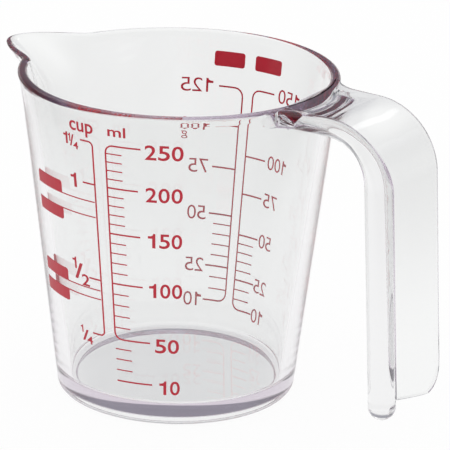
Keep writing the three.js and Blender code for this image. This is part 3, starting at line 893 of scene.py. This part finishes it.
def towards(tree, vector, direction, near, far, level):
    """One up to a dot product of near, easing to a level from far on."""
    dot = tree.nodes.new("ShaderNodeVectorMath")
    dot.operation = "DOT_PRODUCT"
    tree.links.new(vector, dot.inputs[0])
    dot.inputs[1].default_value = direction
    ease = tree.nodes.new("ShaderNodeMapRange")
    ease.interpolation_type = "SMOOTHSTEP"
    ease.inputs["From Min"].default_value = near
    ease.inputs["From Max"].default_value = far
    ease.inputs["To Min"].default_value = 1
    ease.inputs["To Max"].default_value = level
    tree.links.new(dot.outputs["Value"], ease.inputs["Value"])
    return ease.outputs["Result"]


def dim_room(tree, vector, path, near, far):
    """One behind the cup and near it. For light that was mirrored on its way, it eases to the room's
    level at the viewer's side and at both sides."""
    level = towards(tree, vector, VIEWER_SIDE, near, far, DIM_ROOM)
    for side in (LEFT_SIDE, RIGHT_SIDE):
        level = combined(tree, "MULTIPLY", level, towards(tree, vector, side, near, far, DIM_ROOM))
    straight = combined(tree, "SUBTRACT", 1, path.outputs["Glossy Depth"])
    return either(tree, level, straight)


print("dim room:", DIM_ROOM)

# %% Floor
DISC_RADIUS = 3
DISC_SIDES = 96
DISC_DROP = 0.2 * MM
DISC_PAINT = (0.9, 0.9, 0.9, 1)
PAINT_ROUGHNESS = 0.9
DISC_GLOW = 0.95
GLOW_NEAR, GLOW_FAR = 0.12, 0.3


def make_floor():
    mesh = bmesh.new()
    bmesh.ops.create_circle(mesh, cap_ends=True, segments=DISC_SIDES, radius=DISC_RADIUS)
    floor = object_from(mesh, "floor")
    floor.location.z = -DISC_DROP
    material = bpy.data.materials.new("floor")
    material.use_nodes = True
    tree = material.node_tree
    paint = tree.nodes["Principled BSDF"]
    paint.inputs["Base Color"].default_value = DISC_PAINT
    paint.inputs["Roughness"].default_value = PAINT_ROUGHNESS
    path = tree.nodes.new("ShaderNodeLightPath")
    place = tree.nodes.new("ShaderNodeNewGeometry")
    bent = either(tree, path.outputs["Is Glossy Ray"], path.outputs["Is Transmission Ray"])
    seen = either(tree, path.outputs["Is Camera Ray"], bent)
    glow = tree.nodes.new("ShaderNodeEmission")
    level = dim_room(tree, place.outputs["Position"], path, GLOW_NEAR, GLOW_FAR)
    tree.links.new(level, glow.inputs["Strength"])
    mix = tree.nodes.new("ShaderNodeMixShader")
    tree.links.new(combined(tree, "MULTIPLY", seen, DISC_GLOW), mix.inputs[0])
    tree.links.new(paint.outputs[0], mix.inputs[1])
    tree.links.new(glow.outputs[0], mix.inputs[2])
    tree.links.new(mix.outputs[0], tree.nodes["Material Output"].inputs["Surface"])
    floor.data.materials.append(material)


make_floor()
print("floor glow:", DISC_GLOW)

# %% [markdown]
# ## Soft light
# The studio is a world without lamps: even white light falls on the ink and the floor, at a level
# that shows colours as they are written. Mirrored and bent rays see more: white at the horizon, a
# dimmer blue-grey band above it, white overhead, and two soft boxes behind the cup. The band draws
# the dark line along the rim, and the boxes lie as soft spots on the handle's bend. Lamps could do
# the same, but light that they throw through clear plastic takes very many samples to come out clean.

# %% World
# Each stop of the ramp: height over the horizon as the sine of the elevation, and light level.
STUDIO_RAMP = ((0.0, 1.0), (0.05, 1.0), (0.25, 0.36), (0.40, 0.36), (0.56, 1.0))
BAND_BLUE = 1.12
SOFT_BOXES = ((-0.074, 0.791, 0.608), (0.419, 0.791, 0.449))
BOX_EDGE, BOX_MIDDLE = 0.9965, 0.9998
BOX_LEVEL = 2.2
ROOM_NEAR, ROOM_FAR = 0.4, 0.9
NEW_STOP = 0.5


def studio_band(tree, direction):
    """Colour of the studio by height: white, a blue-grey band, white overhead."""
    split = tree.nodes.new("ShaderNodeSeparateXYZ")
    tree.links.new(direction, split.inputs[0])
    band = tree.nodes.new("ShaderNodeValToRGB")
    band.color_ramp.interpolation = "EASE"
    ramp = band.color_ramp.elements
    while len(ramp) < len(STUDIO_RAMP):
        ramp.new(NEW_STOP)
    for stop, (place, level) in zip(ramp, STUDIO_RAMP):
        stop.position = place
        stop.color = (level, level, min(1, level * BAND_BLUE), 1)
    tree.links.new(split.outputs["Z"], band.inputs["Fac"])
    return band.outputs["Color"]


def make_world():
    world = bpy.data.worlds.new("studio")
    world.use_nodes = True
    tree = world.node_tree
    direction = tree.nodes.new("ShaderNodeTexCoord").outputs["Generated"]
    path = tree.nodes.new("ShaderNodeLightPath")
    strength = dim_room(tree, direction, path, ROOM_NEAR, ROOM_FAR)
    for box in SOFT_BOXES:
        shine = towards(tree, direction, box, BOX_EDGE, BOX_MIDDLE, BOX_LEVEL)
        strength = combined(tree, "MULTIPLY", strength, shine)
    studio = tree.nodes["Background"]
    tree.links.new(studio_band(tree, direction), studio.inputs["Color"])
    tree.links.new(strength, studio.inputs["Strength"])
    even = tree.nodes.new("ShaderNodeBackground")
    even.inputs["Color"].default_value = (1, 1, 1, 1)
    plain = either(tree, path.outputs["Is Camera Ray"], path.outputs["Diffuse Depth"])
    mix = tree.nodes.new("ShaderNodeMixShader")
    tree.links.new(plain, mix.inputs[0])
    tree.links.new(studio.outputs[0], mix.inputs[1])
    tree.links.new(even.outputs[0], mix.inputs[2])
    tree.links.new(mix.outputs[0], tree.nodes["World Output"].inputs["Surface"])
    bpy.context.scene.world = world


make_world()
print("soft boxes:", len(SOFT_BOXES))

# %% [markdown]
# ## Enough bounces
# Light that enters the rim is mirrored down inside the wall dozens of times before it leaves at the
# foot, and light under the print goes to and fro between ink and plastic. With the usual limits such
# paths end in black, so the limits are raised. The view transform is Standard, which shows colours as
# they are written.

# %% Render settings
PATH_BOUNCES = 128
INK_BOUNCES = 12
bpy.context.scene.view_settings.view_transform = "Standard"
bpy.context.scene.cycles.max_bounces = PATH_BOUNCES
bpy.context.scene.cycles.transmission_bounces = PATH_BOUNCES
bpy.context.scene.cycles.glossy_bounces = PATH_BOUNCES
bpy.context.scene.cycles.diffuse_bounces = INK_BOUNCES
print("bounces:", PATH_BOUNCES, "and for ink:", INK_BOUNCES)
